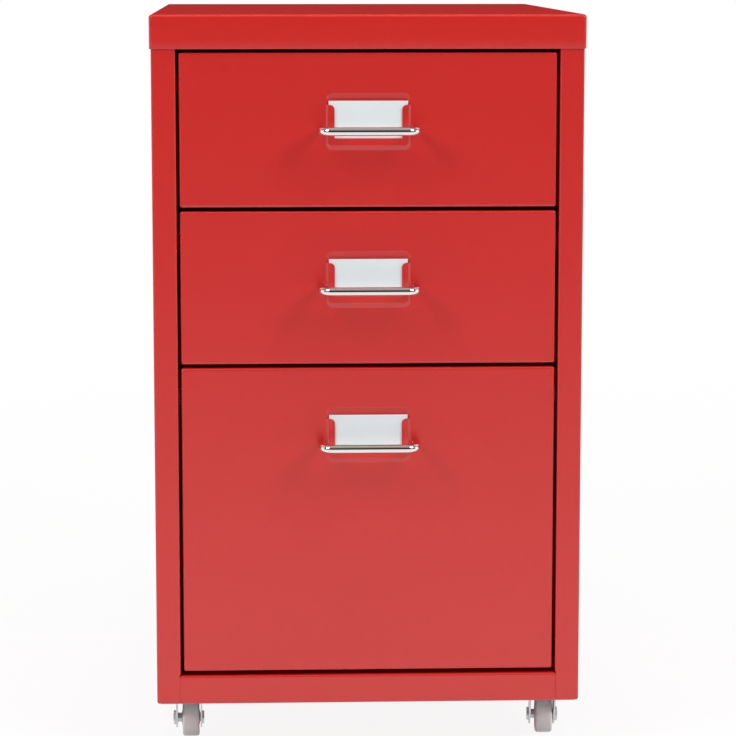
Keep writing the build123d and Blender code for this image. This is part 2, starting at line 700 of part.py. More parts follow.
def axle(head_side):
    """Axle bolt, its spacers and its nut; the nut is on the side of head_side reversed."""
    at = (SWIVEL_LEAD, WHEEL_RADIUS)
    half = FORK_WIDTH / 2
    length = FORK_WIDTH + AXLE_NUT[1] + AXLE_END
    bolt = pan_screw("x", head_side * half, head_side, at, length, AXLE_RADIUS, AXLE_HEAD)
    face = Plane((-head_side * half, *at), x_dir=(0, 1, 0), z_dir=(-head_side, 0, 0))
    nut = extrude(face * RegularPolygon(AXLE_NUT[0], 6, major_radius=False), AXLE_NUT[1])
    nut -= rod("x", AXLE_RADIUS, -2 * half, 2 * half, at)
    pieces = [bolt, nut]
    for side in (-1, 1):
        hub_end = WHEEL_SHIFT + side * (HUB_WIDTH / 2 + RUNNING_FIT)
        ring = rod("x", SPACER_RADIUS, hub_end, side * (half - FORK_SHEET), at)
        pieces.append(ring - rod("x", AXLE_RADIUS, -2 * half, 2 * half, at))
    return pieces


def all_nodes():
    """Every node of the cabinet by name."""
    right_side = side_panel()
    nodes = {
        "top_cap": top_cap(),
        "side_panel_right": right_side,
        "side_panel_left": mirrored(right_side),
        "back_panel": back_panel(),
        "bottom_panel": bottom_panel(),
        "case_screws": case_screws(),
        "runner_rivets": runner_rivets(),
        "caster_screws": caster_screws(),
        "caster_kingpins": kingpins(),
        "swivel_washers": swivel_washers(),
    }
    stops = []
    for name, top, height in DRAWERS:
        right_runner = runner(top)
        nodes[f"runner_{name}_right"] = right_runner
        nodes[f"runner_{name}_left"] = mirrored(right_runner)
        right_stop = runner_stop(top)
        stops += [right_stop, mirrored(right_stop)]
        right_glide = rear_glide(top)
        nodes[f"{name}_front"] = drawer_front(top, height)
        right_wall = tray_side(top, height)
        nodes[f"{name}_floor"] = tray_floor(top, height)
        nodes[f"{name}_back"] = tray_back(top, height)
        nodes[f"{name}_side_right"] = right_wall
        nodes[f"{name}_side_left"] = mirrored(right_wall)
        nodes[f"{name}_handle"] = handle(top)
        nodes[f"{name}_handle_screws"] = handle_screws(top)
        nodes[f"{name}_glides"] = [right_glide, mirrored(right_glide)]
        nodes[f"{name}_label_card"] = label_card(top)
    nodes["runner_stops"] = stops
    fork_shape = fork()
    wheel_shape = wheel()
    for name, at in CASTERS.items():
        place = caster_place(name)
        nodes[f"caster_{name}_plate"] = caster_plate(*at)
        nodes[f"caster_{name}_fork"] = place * fork_shape
        nodes[f"caster_{name}_wheel"] = place * wheel_shape
        nodes[f"caster_{name}_axle"] = [place * piece for piece in axle(inner_side(name))]
    return nodes


os.makedirs("parts", exist_ok=True)
for node, shape in all_nodes().items():
    if isinstance(shape, list):
        shape = Compound(children=[solid for piece in shape for solid in piece.solids()])
    export_step(shape, f"parts/{node}.step")
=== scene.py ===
# %% [markdown]
# # A rolling steel drawer cabinet, dressed for its portrait
# The packed model is the frame: every sheet, wire, screw and wheel of the cabinet is already in its
# place, in metres, with +Y to the back and +Z up. This lesson gives the parts their finishes and
# makes anew the ones that the eye rests on: pressed fronts, top, handles, cards, wheels and screws.
# No piece may make the cabinet larger.

# %% Load the frame
import json
import math

import bpy
import bmesh
import numpy as np
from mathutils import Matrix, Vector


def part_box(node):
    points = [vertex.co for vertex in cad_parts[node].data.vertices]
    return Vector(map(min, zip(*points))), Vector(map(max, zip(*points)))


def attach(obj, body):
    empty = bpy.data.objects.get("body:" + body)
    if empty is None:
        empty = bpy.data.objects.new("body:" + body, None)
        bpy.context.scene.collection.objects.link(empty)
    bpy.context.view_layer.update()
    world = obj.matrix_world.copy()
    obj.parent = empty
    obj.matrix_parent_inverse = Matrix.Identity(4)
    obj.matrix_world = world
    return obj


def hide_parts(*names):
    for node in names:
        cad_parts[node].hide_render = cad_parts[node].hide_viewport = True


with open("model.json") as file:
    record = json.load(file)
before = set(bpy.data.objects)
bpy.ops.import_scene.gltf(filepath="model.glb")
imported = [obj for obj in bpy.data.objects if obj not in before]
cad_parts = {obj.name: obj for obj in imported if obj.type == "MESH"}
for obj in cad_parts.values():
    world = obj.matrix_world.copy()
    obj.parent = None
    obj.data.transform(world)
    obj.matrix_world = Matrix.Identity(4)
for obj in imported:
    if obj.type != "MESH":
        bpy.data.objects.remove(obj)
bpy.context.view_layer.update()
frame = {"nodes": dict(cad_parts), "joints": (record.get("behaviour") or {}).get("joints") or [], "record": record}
MM = 0.001

# %% [markdown]
# ## Helpers for surfaces
# A sheet, a wire and a wheel are all surfaces with two directions: along and across, or round and
# along. So each is worked out as a grid of points, whole arrays at a time, and the same helper joins
# neighbouring points by quads. A piece that needs several grids is joined from patches.

# %% Grid faces
def grid_faces(rows, columns, rows_close=False, columns_close=False):
    """Corners of the quads between neighbouring points of a grid, counted row by row."""
    index = np.arange(rows * columns).reshape(rows, columns)
    if rows_close:
        index = np.concatenate([index, index[:1]], axis=0)
    if columns_close:
        index = np.concatenate([index, index[:, :1]], axis=1)
    corners = [index[:-1, :-1], index[:-1, 1:], index[1:, 1:], index[1:, :-1]]
    return np.stack(corners, axis=-1)


def join_patches(patches):
    """One list of points and one of faces out of several (points, faces) patches."""
    starts = np.cumsum([0] + [points.reshape(-1, 3).shape[0] for points, _ in patches[:-1]])
    points = np.concatenate([points.reshape(-1, 3) for points, _ in patches])
    faces = np.concatenate([faces.reshape(-1, 4) + start for (_, faces), start in zip(patches, starts)])
    return points, faces


print("quads of a grid of 3 by 4 points", grid_faces(3, 4).reshape(-1, 4).shape[0])

# %% [markdown]
# ## From a grid to a piece
# Points that meet are merged, so the seams are closed. Sheet steel has a wall: the surface is its
# outer side and Solidify adds the inner one, so the wall need not be worked out twice. Where the coat
# runs over a cut edge, a small Bevel rounds it. An edge sharper than 35 degrees stays crisp and all
# others are shaded smooth, as a bend in sheet steel looks. At the end the piece is told which body
# carries it, which parts it stands in for and which finish it has.

# %% Finished pieces
MERGE = 0.002 * MM
NO_LENGTH = 0.001 * MM
EDGE_ANGLE = math.radians(60.0)
EDGE_STEPS = 3
SHARP = math.radians(35.0)


def make_piece(name, points, faces, body, nodes, finish, wall=None, edge=None):
    """A finished piece of the cabinet: merged, given the wall of its sheet and its edge, and shaded."""
    mesh = bpy.data.meshes.new(name)
    mesh.from_pydata(points.reshape(-1, 3).tolist(), [], faces.reshape(-1, 4).tolist())
    work = bmesh.new()
    work.from_mesh(mesh)
    bmesh.ops.remove_doubles(work, verts=work.verts, dist=MERGE)
    bmesh.ops.dissolve_degenerate(work, edges=work.edges, dist=NO_LENGTH)
    work.to_mesh(mesh)
    work.free()
    piece = bpy.data.objects.new(name, mesh)
    bpy.context.scene.collection.objects.link(piece)
    if wall:
        solidify = piece.modifiers.new("wall", "SOLIDIFY")
        solidify.thickness = wall
        solidify.offset = -1.0
        solidify.use_even_offset = True
        if edge:
            bevel = piece.modifiers.new("edge", "BEVEL")
            bevel.width = edge
            bevel.segments = EDGE_STEPS
            bevel.limit_method = "ANGLE"
            bevel.angle_limit = EDGE_ANGLE
        graph = bpy.context.evaluated_depsgraph_get()
        walled = bpy.data.meshes.new_from_object(piece.evaluated_get(graph))
        piece.modifiers.clear()
        piece.data = walled
        walled.name = name
        bpy.data.meshes.remove(mesh)
    piece.data.shade_smooth()
    piece.data.set_sharp_from_angle(angle=SHARP)
    piece.data.materials.append(finish.material)
    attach(piece, body)
    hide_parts(*nodes)
    print(name, "faces", len(piece.data.polygons))
    return piece


print("edges are crisp above", round(math.degrees(SHARP)), "degrees")

# %% [markdown]
# ## A small language for finishes
# A finish is a tree of shader nodes. Written out node by node it is hard to read, so a wire of the
# tree gets Python's operators: grain * 0.2 + 0.3 adds the two Math nodes that it says.

# %% Wires
class Wire:
    """An output of a node that can stand in a sum, a difference or a product."""

    def __init__(self, nodes, socket):
        self.nodes = nodes
        self.socket = socket

    def with_math(self, operation, first, second):
        """Adds a Math node between two wires or numbers."""
        return self.nodes.node("ShaderNodeMath", {"operation": operation}, {0: first, 1: second})

    def __add__(self, other):
        return self.with_math("ADD", self, other)

    def __radd__(self, other):
        return self.with_math("ADD", other, self)

    def __sub__(self, other):
        return self.with_math("SUBTRACT", self, other)

    def __rsub__(self, other):
        return self.with_math("SUBTRACT", other, self)

    def __mul__(self, other):
        return self.with_math("MULTIPLY", self, other)

    def __rmul__(self, other):
        return self.with_math("MULTIPLY", other, self)


print("wires can be added, subtracted and multiplied")

# %% [markdown]
# Every other node comes from one method, which sets the node's own settings first and then its
# sockets: a wire is linked and a number or colour is written into the socket. Materials and the world
# both own such a tree.

# %% Node trees
class NodeTree:
    """The nodes of a material or of the world."""

    def __init__(self, owner):
        owner.use_nodes = True
        self.tree = owner.node_tree
        self.tree.nodes.clear()

    def node(self, kind, settings=None, sockets=None, out=0):
        """Adds a node, sets its settings and ramp stops, then its sockets; returns one output."""
        made = self.tree.nodes.new(kind)
        for key, value in (settings or {}).items():
            if key == "stops":
                for stop, (place, shade) in zip(self.ramp_stops(made, len(value)), value):
                    stop.position = place
                    stop.color = shade
            else:
                setattr(made, key, value)
        for key, value in (sockets or {}).items():
            if isinstance(value, Wire):
                self.tree.links.new(value.socket, made.inputs[key])
            else:
                made.inputs[key].default_value = value
        return Wire(self, made.outputs[out]) if made.outputs else None

    def ramp_stops(self, made, count):
        """The stops of a colour ramp, after adding as many as are missing."""
        stops = made.color_ramp.elements
        while len(stops) < count:
            stops.new(0.5)
        return stops


print("a node tree can", [name for name in vars(NodeTree) if not name.startswith("_")])

# %% [markdown]
# A finish is such a tree for one material, with short names for the nodes that every coat, plate and
# plastic here needs: a place, a noise, a soft step, a mix of two colours and a bump. It starts from
# Object coordinates, which are metres on the cabinet, so that a grain has the same size on every piece.

# %% Finishes
class Finish(NodeTree):
    """One material with its node tree; slot is the finish of the record that it stands for."""

    def __init__(self, name, slot=None):
        self.slot = slot
        self.material = bpy.data.materials.new(name)
        super().__init__(self.material)

    def place(self):
        """Position on the piece, in metres from the cabinet's own origin."""
        return self.node("ShaderNodeTexCoord", out="Object")

    def noise(self, place, scale, detail=2.0, roughness=0.5):
        """Soft random pattern from 0 to 1; scale counts its lumps per metre."""
        sockets = {"Vector": place, "Scale": scale, "Detail": detail, "Roughness": roughness}
        return self.node("ShaderNodeTexNoise", {}, sockets, out="Fac")

    def between(self, value, low, high, first, last):
        """Goes smoothly from first to last while value goes from low to high."""
        sockets = {"Value": value, 1: low, 2: high, 3: first, 4: last}
        return self.node("ShaderNodeMapRange", {"interpolation_type": "SMOOTHSTEP"}, sockets)

    def mix(self, share, first, second):
        """Colour between two colours."""
        sockets = {0: share, 6: first, 7: second}
        return self.node("ShaderNodeMix", {"data_type": "RGBA"}, sockets, out=2)

    def bump(self, height, distance, strength, under=None):
        """Normal of a surface raised by height times distance, in metres, on top of another bump."""
        sockets = {"Height": height, "Distance": distance, "Strength": strength}
        if under:
            sockets["Normal"] = under
        return self.node("ShaderNodeBump", {}, sockets)

    def shade(self, sockets):
        """Closes the tree with a Principled shader."""
        shader = self.node("ShaderNodeBsdfPrincipled", {}, sockets)
        self.node("ShaderNodeOutputMaterial", {}, {"Surface": shader})
        print("finish", self.material.name, "nodes", len(self.tree.nodes))
        return self


print("a finish adds", [name for name in vars(Finish) if not name.startswith("_")])

# %% [markdown]
# ## Red powder coat
# The sheet is coated with powder that melts to one even, semi-gloss skin. It is almost plain in
# colour, but it is never flat: the skin keeps a faint orange peel, about a millimetre and a half from
# crest to crest, and the large sheets are not quite true. Both only show in the reflections, so they
# go into bump and roughness, and the colour varies by a few hundredths.

# %% Red powder coat
def red_coat():
    """Red between two near tones; roughness is a base plus a share of the peel and of a finer speck."""
    finish = Finish("red_powder_coat", "red_paint")
    place = finish.place()
    cloud = finish.noise(place, 9.0, detail=3.0)
    peel = finish.noise(place, 720.0, detail=2.0, roughness=0.45)
    speck = finish.noise(place, 2600.0, detail=1.0)
    colour = finish.mix(cloud, (0.590, 0.0135, 0.0105, 1.0), (0.620, 0.0160, 0.0125, 1.0))
    rough = 0.25 + peel * 0.05 + speck * 0.03
    swell = finish.bump(cloud, 0.9 * MM, 0.25)
    normal = finish.bump(peel, 0.006 * MM, 0.5, under=swell)
    sockets = {"Base Color": colour, "Roughness": rough, "Normal": normal, "IOR": 1.70}
    return finish.shade(sockets)


RED = red_coat()

# %% [markdown]
# ## Chrome
# The handles are bright chrome: all mirror, with only a breath of haze where cloths have wiped it. A
# perfect mirror would look drawn, so a slow noise varies the haze and a fine one pits the plate.

# %% Chrome
def chrome_plate():
    """Metal whose roughness is a small base plus a share of the haze."""
    finish = Finish("chrome_plate", "chrome")
    place = finish.place()
    haze = finish.noise(place, 120.0, detail=4.0)
    pits = finish.noise(place, 1500.0, detail=2.0)
    colour = finish.mix(haze, (0.80, 0.79, 0.78, 1.0), (0.86, 0.855, 0.85, 1.0))
    rough = 0.045 + haze * 0.05
    normal = finish.bump(pits, 0.004 * MM, 0.35)
    sockets = {"Base Color": colour, "Roughness": rough, "Normal": normal, "Metallic": 1.0}
    return finish.shade(sockets)


CHROME = chrome_plate()

# %% [markdown]
# ## Zinc
# Forks, plates, rivets and screws are zinc plated, a duller and slightly mottled grey. The plate grows
# in small crystals, so Voronoi cells give each spot its own tone, and a fine grain goes over them.

# %% Zinc
def zinc_plate():
    """Metal between two greys by half the cell's tone and half the grain, which also roughen it."""
    finish = Finish("zinc_plate", "zinc")
    place = finish.place()
    cells = finish.node(
        "ShaderNodeTexVoronoi", {"feature": "F1"}, {"Vector": place, "Scale": 210.0}, out="Color"
    )
    tone = finish.node("ShaderNodeSeparateColor", {}, {0: cells}, out=0)
    grain = finish.noise(place, 900.0, detail=3.0)
    share = tone * 0.5 + grain * 0.5
    colour = finish.mix(share, (0.50, 0.50, 0.515, 1.0), (0.68, 0.68, 0.69, 1.0))
    rough = 0.30 + grain * 0.14 + tone * 0.06
    normal = finish.bump(grain, 0.02 * MM, 0.4)
    sockets = {"Base Color": colour, "Roughness": rough, "Normal": normal, "Metallic": 1.0}
    return finish.shade(sockets)


ZINC = zinc_plate()

# %% [markdown]
# ## Nylon
# The wheels and glides are moulded nylon, light grey and black, with a soft sheen and a faint
# cloudiness. One recipe makes both, because only the two tones differ.

# %% Nylon
def nylon(name, slot, dark, light):
    """Plastic between a dark and a light tone by its cloud; cloud and grain roughen it a little."""
    finish = Finish(name, slot)
    place = finish.place()
    cloud = finish.noise(place, 160.0, detail=3.0)
    grain = finish.noise(place, 1900.0, detail=2.0)
    colour = finish.mix(cloud, dark, light)
    rough = 0.40 + cloud * 0.10 + grain * 0.06
    normal = finish.bump(grain, 0.015 * MM, 0.5)
    sockets = {"Base Color": colour, "Roughness": rough, "Normal": normal, "IOR": 1.53}
    return finish.shade(sockets)


WHEEL = nylon("grey_wheel_nylon", "wheel_nylon", (0.74, 0.765, 0.79, 1.0), (0.82, 0.84, 0.86, 1.0))
GLIDE = nylon("black_glide_nylon", "glide_nylon", (0.028, 0.028, 0.030, 1.0), (0.045, 0.045, 0.047, 1.0))


# %% [markdown]
# ## Card
# The label cards are plain stiff paper, a cool white. Close up, paper is a felt of fibres, so the
# colour and the bump follow a noise that is stretched along the card.

# %% Paper card
def paper():
    """White between two tones by six tenths of the fibre and four tenths of the cloud."""
    finish = Finish("paper_card", "card")
    place = finish.place()
    along = finish.node("ShaderNodeMapping", {}, {"Vector": place, "Scale": (1.0, 1.0, 3.0)})
    fibre = finish.noise(along, 1400.0, detail=5.0, roughness=0.6)
    cloud = finish.noise(place, 60.0, detail=2.0)
    share = fibre * 0.6 + cloud * 0.4
    colour = finish.mix(share, (0.725, 0.795, 0.825, 1.0), (0.775, 0.835, 0.86, 1.0))
    normal = finish.bump(fibre, 0.03 * MM, 0.4)
    rough = 0.62 + fibre * 0.2
    sockets = {"Base Color": colour, "Roughness": rough, "Normal": normal, "Specular IOR Level": 0.3}
    return finish.shade(sockets)


PAPER = paper()

# %% [markdown]
# ## The parts that stay
# Sides, back, base, trays, runners and forks have the right shape already. They keep it and get the
# finish of their slot in the record.

# %% Finishes of the kept parts
FINISHES = {finish.slot: finish for finish in (RED, CHROME, ZINC, WHEEL, GLIDE, PAPER)}
for part in frame["record"]["subparts"]:
    mesh = frame["nodes"][part["node"]].data
    mesh.materials.clear()
    mesh.materials.append(FINISHES[part["material_slot"]].material)

# %% [markdown]
# ## Folded sheet
# The top and the drawer fronts are pans: a flat sheet whose four edges are bent back. A box with a
# Bevel would look alike from afar, but a drawer that is pulled out shows the open back of its front.
# So a flat grid makes the face. Round it runs a strip: the profile of the bend and the flange, carried
# round the outline of the face. At a corner the profile stays on the spot and turns by ninety degrees,
# which leaves the small ball corner that a pressed pan has. A grid line close to each bend keeps the
# shading of the face flat.

# %% Rim of a pan
SHEET = 0.8 * MM
BEND = 1.5 * MM
BEND_STEPS = 7
CORNER_STEPS = 7
FLANGE_STEPS = 3
BY_BEND = 0.4 * MM
COAT_EDGE = 0.38 * MM


def lines(*stops):
    """Grid lines: pairs of (end, number of steps) after a start value."""
    runs = [np.array([stops[0]])]
    for (end, steps), start in zip(stops[1:], [stops[0]] + [stop[0] for stop in stops[1:-1]]):
        runs.append(np.linspace(start, end, steps + 1)[1:])
    return np.concatenate(runs)


def pan_rim(across, up, depth, radius=BEND):
    """Strip round a flat face, as points (path, profile, 3) in the face's own frame.

    The path runs round the rectangle of the grid lines. A point of the strip lies outside the path by
    the bend radius times the sine of the bend angle and behind the face by the radius times one minus
    the cosine; after the bend it runs straight back to the depth of the pan.
    """
    low_a, high_a, low_b, high_b = across[0], across[-1], up[0], up[-1]
    fan = np.linspace(0.0, math.pi / 2, CORNER_STEPS + 1)[1:-1]
    sides = [
        (across, np.full_like(across, low_b), -math.pi / 2),
        (np.full_like(up, high_a), up, 0.0),
        (across[::-1], np.full_like(across, high_b), math.pi / 2),
        (np.full_like(up, low_a), up[::-1], math.pi),
    ]
    path = []
    angle = []
    for a, b, facing in sides:
        path.append(np.stack([a, b], axis=-1))
        angle.append(np.full(a.shape, facing))
        path.append(np.tile([[a[-1], b[-1]]], (fan.size, 1)))
        angle.append(facing + fan)
    path = np.concatenate(path)
    angle = np.concatenate(angle)
    outward = np.stack([np.cos(angle), np.sin(angle)], axis=-1)
    bend = np.linspace(0.0, math.pi / 2, BEND_STEPS + 1)
    flange = np.linspace(radius, depth, FLANGE_STEPS + 1)[1:]
    offset = np.concatenate([radius * np.sin(bend), np.full(flange.shape, radius)])
    drop = np.concatenate([radius * (1.0 - np.cos(bend)), flange])
    flat = path[:, None, :] + outward[:, None, :] * offset[None, :, None]
    back = np.broadcast_to(-drop[None, :, None], flat.shape[:2] + (1,))
    return np.concatenate([flat, back], axis=-1)


def face_lines(low, high, steps, radius):
    """Grid lines between two bends, with one more line close to each."""
    start, end = low + radius, high - radius
    return lines(start, (start + BY_BEND, 1), (end - BY_BEND, steps), (end, 1))


print("sheet", SHEET / MM, "mm, bent at", BEND / MM, "mm")

# %% [markdown]
# ## Top
# The top is such a pan, 280 by 410 mm with a lip of 22 mm that hides the upper edge of the case. Its
# bend is a little wider than that of the fronts and shows as a line of light. The coat rounds the cut
# edge of the lip, which catches the light of the floor.

# %% Top with its lip
TOP_BEND = 2.2 * MM
TOP_STEPS = 12


def top_sheet():
    """Level grid at the top's height, with the rim of a pan as deep as the lip round it."""
    low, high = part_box("top_cap")
    across = face_lines(low.x, high.x, TOP_STEPS, TOP_BEND)
    deep = face_lines(low.y, high.y, TOP_STEPS, TOP_BEND)
    a, b = np.meshgrid(across, deep)
    face = np.stack([a, b, np.zeros_like(a)], axis=-1)
    rim = pan_rim(across, deep, high.z - low.z, TOP_BEND)
    patches = [
        (face, grid_faces(deep.size, across.size)),
        (rim, grid_faces(rim.shape[0], rim.shape[1], rows_close=True)),
    ]
    points, faces = join_patches(patches)
    points[:, 2] += high.z
    return make_piece("top_sheet", points, faces, "case", ["top_cap"], RED, wall=SHEET, edge=COAT_EDGE)


top_sheet()

# %% [markdown]
# ## Drawer fronts with their label pockets
# Each front is a pan with a pocket for a card pressed into it. The press pushes the lower part of a
# rounded rectangle forward, as three lips that hold the card, and the upper part a little back, so
# that the card can be slipped in from above. Between them the sheet is cut. The flats of the pocket
# run into the face by soft slopes, long at top and bottom and short at the sides. It could be cut and
# bent as a solid, but it is only a height over the face, so one formula gives it for any grid.

# %% Shape of the pocket
POCKET_HALF = 27.7 * MM
POCKET_TOP = 25.6 * MM
POCKET_HEIGHT = 37.0 * MM
POCKET_CORNER = 5.0 * MM
END_SLOPE = 3.4 * MM
SIDE_SLOPE = 2.4 * MM
LIP_RAISE = 1.4 * MM
RELIEF = 0.7 * MM
CUT_BELOW_TOP = 7.8 * MM
WINDOW_HALF = 21.75 * MM
WINDOW_BOTTOM = 29.2 * MM
WINDOW_CORNER = 3.0 * MM
NEAR = 1e-9


def pocket_share(x, below):
    """How far the pocket's form has risen, from 0 on the face to 1 on its flat.

    The distance inside a rounded rectangle is divided by the width of the slope, which goes from the
    side slope to the end slope round the corner, and the share is smoothed at both ends as three
    times its square minus twice its cube.
    """
    middle = POCKET_TOP + POCKET_HEIGHT / 2
    over_x = np.abs(x) - (POCKET_HALF - POCKET_CORNER)
    over_z = np.abs(below - middle) - (POCKET_HEIGHT / 2 - POCKET_CORNER)
    out_x = np.maximum(over_x, 0.0)
    out_z = np.maximum(over_z, 0.0)
    reach = np.hypot(out_x, out_z)
    inside = POCKET_CORNER - reach - np.minimum(np.maximum(over_x, over_z), 0.0)
    end_weight = np.where(reach > 0.0, out_z**2 / np.maximum(reach, NEAR) ** 2, over_z > over_x)
    slope = SIDE_SLOPE + (END_SLOPE - SIDE_SLOPE) * end_weight
    share = np.clip(inside / slope, 0.0, 1.0)
    return share * share * (3.0 - 2.0 * share)


lip_share = pocket_share(np.array(0.0), np.array(POCKET_TOP + WINDOW_BOTTOM))
print("the lip under the window stands out by", round(float(lip_share) * LIP_RAISE / MM, 2), "mm")

# %% [markdown]
# The face stays a grid. Its lines crowd at the slopes, where the form turns, and stand wide apart on
# the flat sheet. One line is doubled at the cut, because there the sheet jumps from back to front.

# %% Face grid of a front
SLOPE_MARGIN = 0.3 * MM


def front_columns(half):
    """Grid lines from left to right: close together on the slopes and lips, wide apart elsewhere."""
    right = lines(
        0.0,
        (WINDOW_HALF, 10),
        (POCKET_HALF - SIDE_SLOPE, 10),
        (POCKET_HALF + SLOPE_MARGIN, 14),
        (half - BY_BEND, 14),
        (half, 1),
    )
    return np.concatenate([-right[:0:-1], right])


def front_rows(height):
    """Distances below the top edge of the face: a line is doubled where the sheet is cut."""
    cut = POCKET_TOP + CUT_BELOW_TOP
    window_end = POCKET_TOP + WINDOW_BOTTOM
    bottom = POCKET_TOP + POCKET_HEIGHT
    upper = lines(
        BEND,
        (BEND + BY_BEND, 1),
        (POCKET_TOP - SLOPE_MARGIN, 8),
        (POCKET_TOP + END_SLOPE + SLOPE_MARGIN, 16),
        (cut, 8),
    )
    lower = lines(
        cut,
        (cut + WINDOW_CORNER, 10),
        (window_end, 12),
        (bottom - END_SLOPE - SLOPE_MARGIN, 6),
        (bottom + SLOPE_MARGIN, 16),
        (height - BEND - BY_BEND, 16),
        (height - BEND, 1),
    )
    return upper, lower


def window_edge(below):
    """Half width of the window at a height: a quarter circle widens it at the cut."""
    into = np.clip(below - POCKET_TOP - CUT_BELOW_TOP, 0.0, WINDOW_CORNER)
    return WINDOW_HALF + WINDOW_CORNER - np.sqrt(WINDOW_CORNER**2 - (WINDOW_CORNER - into) ** 2)


cut_width = 2 * float(window_edge(POCKET_TOP)) / MM
print("window", round(2 * WINDOW_HALF / MM, 2), "mm wide,", round(cut_width, 2), "mm at the cut")

# %% [markdown]
# Now the front itself: the part above the cut goes back, the part below comes forward, and the quads
# of the window are left out. On the lips the grid lines are moved sideways, so that they follow the
# round corners of the window. Behind the window hangs the tongue that was pressed back out of it.

# %% Drawer fronts
TONGUE_SIDE_GAP = 0.4 * MM
TONGUE_END_GAP = 0.5 * MM
TONGUE_LINES = 9


def tongue(height):
    """Flat strip behind the window, as deep as the relief, with its lower edge above the lip."""
    side = WINDOW_HALF - TONGUE_SIDE_GAP
    start = POCKET_TOP + CUT_BELOW_TOP
    end = POCKET_TOP + WINDOW_BOTTOM - TONGUE_END_GAP
    x, below = np.meshgrid(np.linspace(-side, side, TONGUE_LINES), np.linspace(start, end, TONGUE_LINES))
    points = np.stack([x, height - below, np.full_like(x, -RELIEF)], axis=-1)
    return points, grid_faces(TONGUE_LINES, TONGUE_LINES)[..., ::-1]


def drawer_front(drawer):
    """Face, rim and tongue of one front, in the order across, up, out of the face."""
    low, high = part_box(f"{drawer}_front")
    height = high.z - low.z
    face_y = low.y + LIP_RAISE
    columns = front_columns(high.x - BEND)
    upper, lower = front_rows(height)
    patches = []
    for rows, form in ((upper, -RELIEF), (lower, LIP_RAISE)):
        x, below = np.meshgrid(columns, rows)
        if form > 0.0:
            flat_end = POCKET_HALF - SIDE_SLOPE
            edge = window_edge(below)
            lip = edge + (np.abs(x) - WINDOW_HALF) * (flat_end - edge) / (flat_end - WINDOW_HALF)
            on_lip = (np.abs(x) >= WINDOW_HALF - NEAR) & (np.abs(x) <= flat_end)
            on_lip &= below <= POCKET_TOP + WINDOW_BOTTOM + NEAR
            x = np.where(on_lip, np.sign(x) * lip, x)
        out = pocket_share(x, below) * form
        face = np.stack([x, height - below, out], axis=-1)
        faces = grid_faces(rows.size, columns.size)[..., ::-1]
        if form > 0.0:
            window_x = np.abs(columns[:-1] + columns[1:]) / 2 < WINDOW_HALF
            window_z = (rows[:-1] + rows[1:]) / 2 < POCKET_TOP + WINDOW_BOTTOM
            faces = faces[~(window_z[:, None] & window_x[None, :])]
        patches.append((face, faces))
    up = height - np.concatenate([upper, lower[1:]])[::-1]
    rim = pan_rim(columns, up, high.y - face_y)
    patches.append((rim, grid_faces(rim.shape[0], rim.shape[1], rows_close=True)))
    patches.append(tongue(height))
    points, faces = join_patches(patches)
    points = np.stack([points[:, 0], face_y - points[:, 2], low.z + points[:, 1]], axis=-1)
    return make_piece(f"{drawer}_pressed_front", points, faces, drawer, [f"{drawer}_front"], RED, wall=SHEET)


DRAWERS = ("drawer_1", "drawer_2", "drawer_3")
for drawer in DRAWERS:
    drawer_front(drawer)

# %% [markdown]
# ## Handles
# A handle is one chromed wire bent twice. A curve with a round bevel would draw it too, but here the
# rings stand closest where the wire turns, which keeps the mirror clean. A circle is carried along the
# middle line: straight out from the front, a quarter turn, across, a quarter turn, and back. The line
# lies in one level plane, so the circle always has one radius straight up and the other level and
# square to the line.

# %% Wire handles
WIRE = 2.8 * MM
WIRE_BEND = 7.0 * MM
WIRE_ROUND = 40
LEG_LINES = 8
TURN_STEPS = 14
BAR_STEPS = 13


def wire_line(half, root, reach):
    """Middle line (x, y) of the wire and its level normals, as whole arrays."""
    leg = np.linspace(root, reach + WIRE_BEND, LEG_LINES)
    turn = np.linspace(0.0, math.pi / 2, TURN_STEPS + 1)[1:]
    left = np.stack([np.full(leg.shape, -half), leg], axis=-1)
    centre = np.array([-half + WIRE_BEND, reach + WIRE_BEND])
    arc = centre + WIRE_BEND * np.stack([-np.cos(turn), -np.sin(turn)], axis=-1)
    heading = np.concatenate([np.zeros(leg.size), turn])
    line = np.concatenate([left, arc])
    painted_floor_glow = line[::-1] * [-1.0, 1.0]
    normal = np.stack([-np.cos(heading), -np.sin(heading)], axis=-1)
    across = np.linspace(-half + WIRE_BEND, half - WIRE_BEND, BAR_STEPS + 1)[1:-1]
    bar = np.stack([across, np.full(across.shape, reach)], axis=-1)
    bar_normal = np.tile([[0.0, -1.0]], (across.size, 1))
    path = np.concatenate([line, bar, painted_floor_glow])
    normals = np.concatenate([normal, bar_normal, normal[::-1] * [-1.0, 1.0]])
    return path, normals


def wire_handle(drawer):
    """Tube round the wire's line; each end closes on the drawer front in a point."""
    low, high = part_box(f"{drawer}_handle")
    path, normals = wire_line(high.x - WIRE, high.y, low.y + WIRE)
    around = np.linspace(0.0, 2 * math.pi, WIRE_ROUND, endpoint=False)
    level = normals[:, None, :] * (WIRE * np.cos(around))[None, :, None]
    flat = path[:, None, :] + level
    middle = (low.z + high.z) / 2
    rise = np.broadcast_to(middle + WIRE * np.sin(around), flat.shape[:2])
    tube = np.concatenate([flat, rise[..., None]], axis=-1)
    ends = np.stack([np.append(path[0], middle), np.append(path[-1], middle)])
    first = np.broadcast_to(ends[0], tube[:1].shape)
    last = np.broadcast_to(ends[1], tube[:1].shape)
    tube = np.concatenate([first, tube, last])
    faces = grid_faces(tube.shape[0], WIRE_ROUND, columns_close=True)
    return make_piece(f"{drawer}_wire_handle", tube, faces, drawer, [f"{drawer}_handle"], CHROME)


for drawer in DRAWERS:
    wire_handle(drawer)

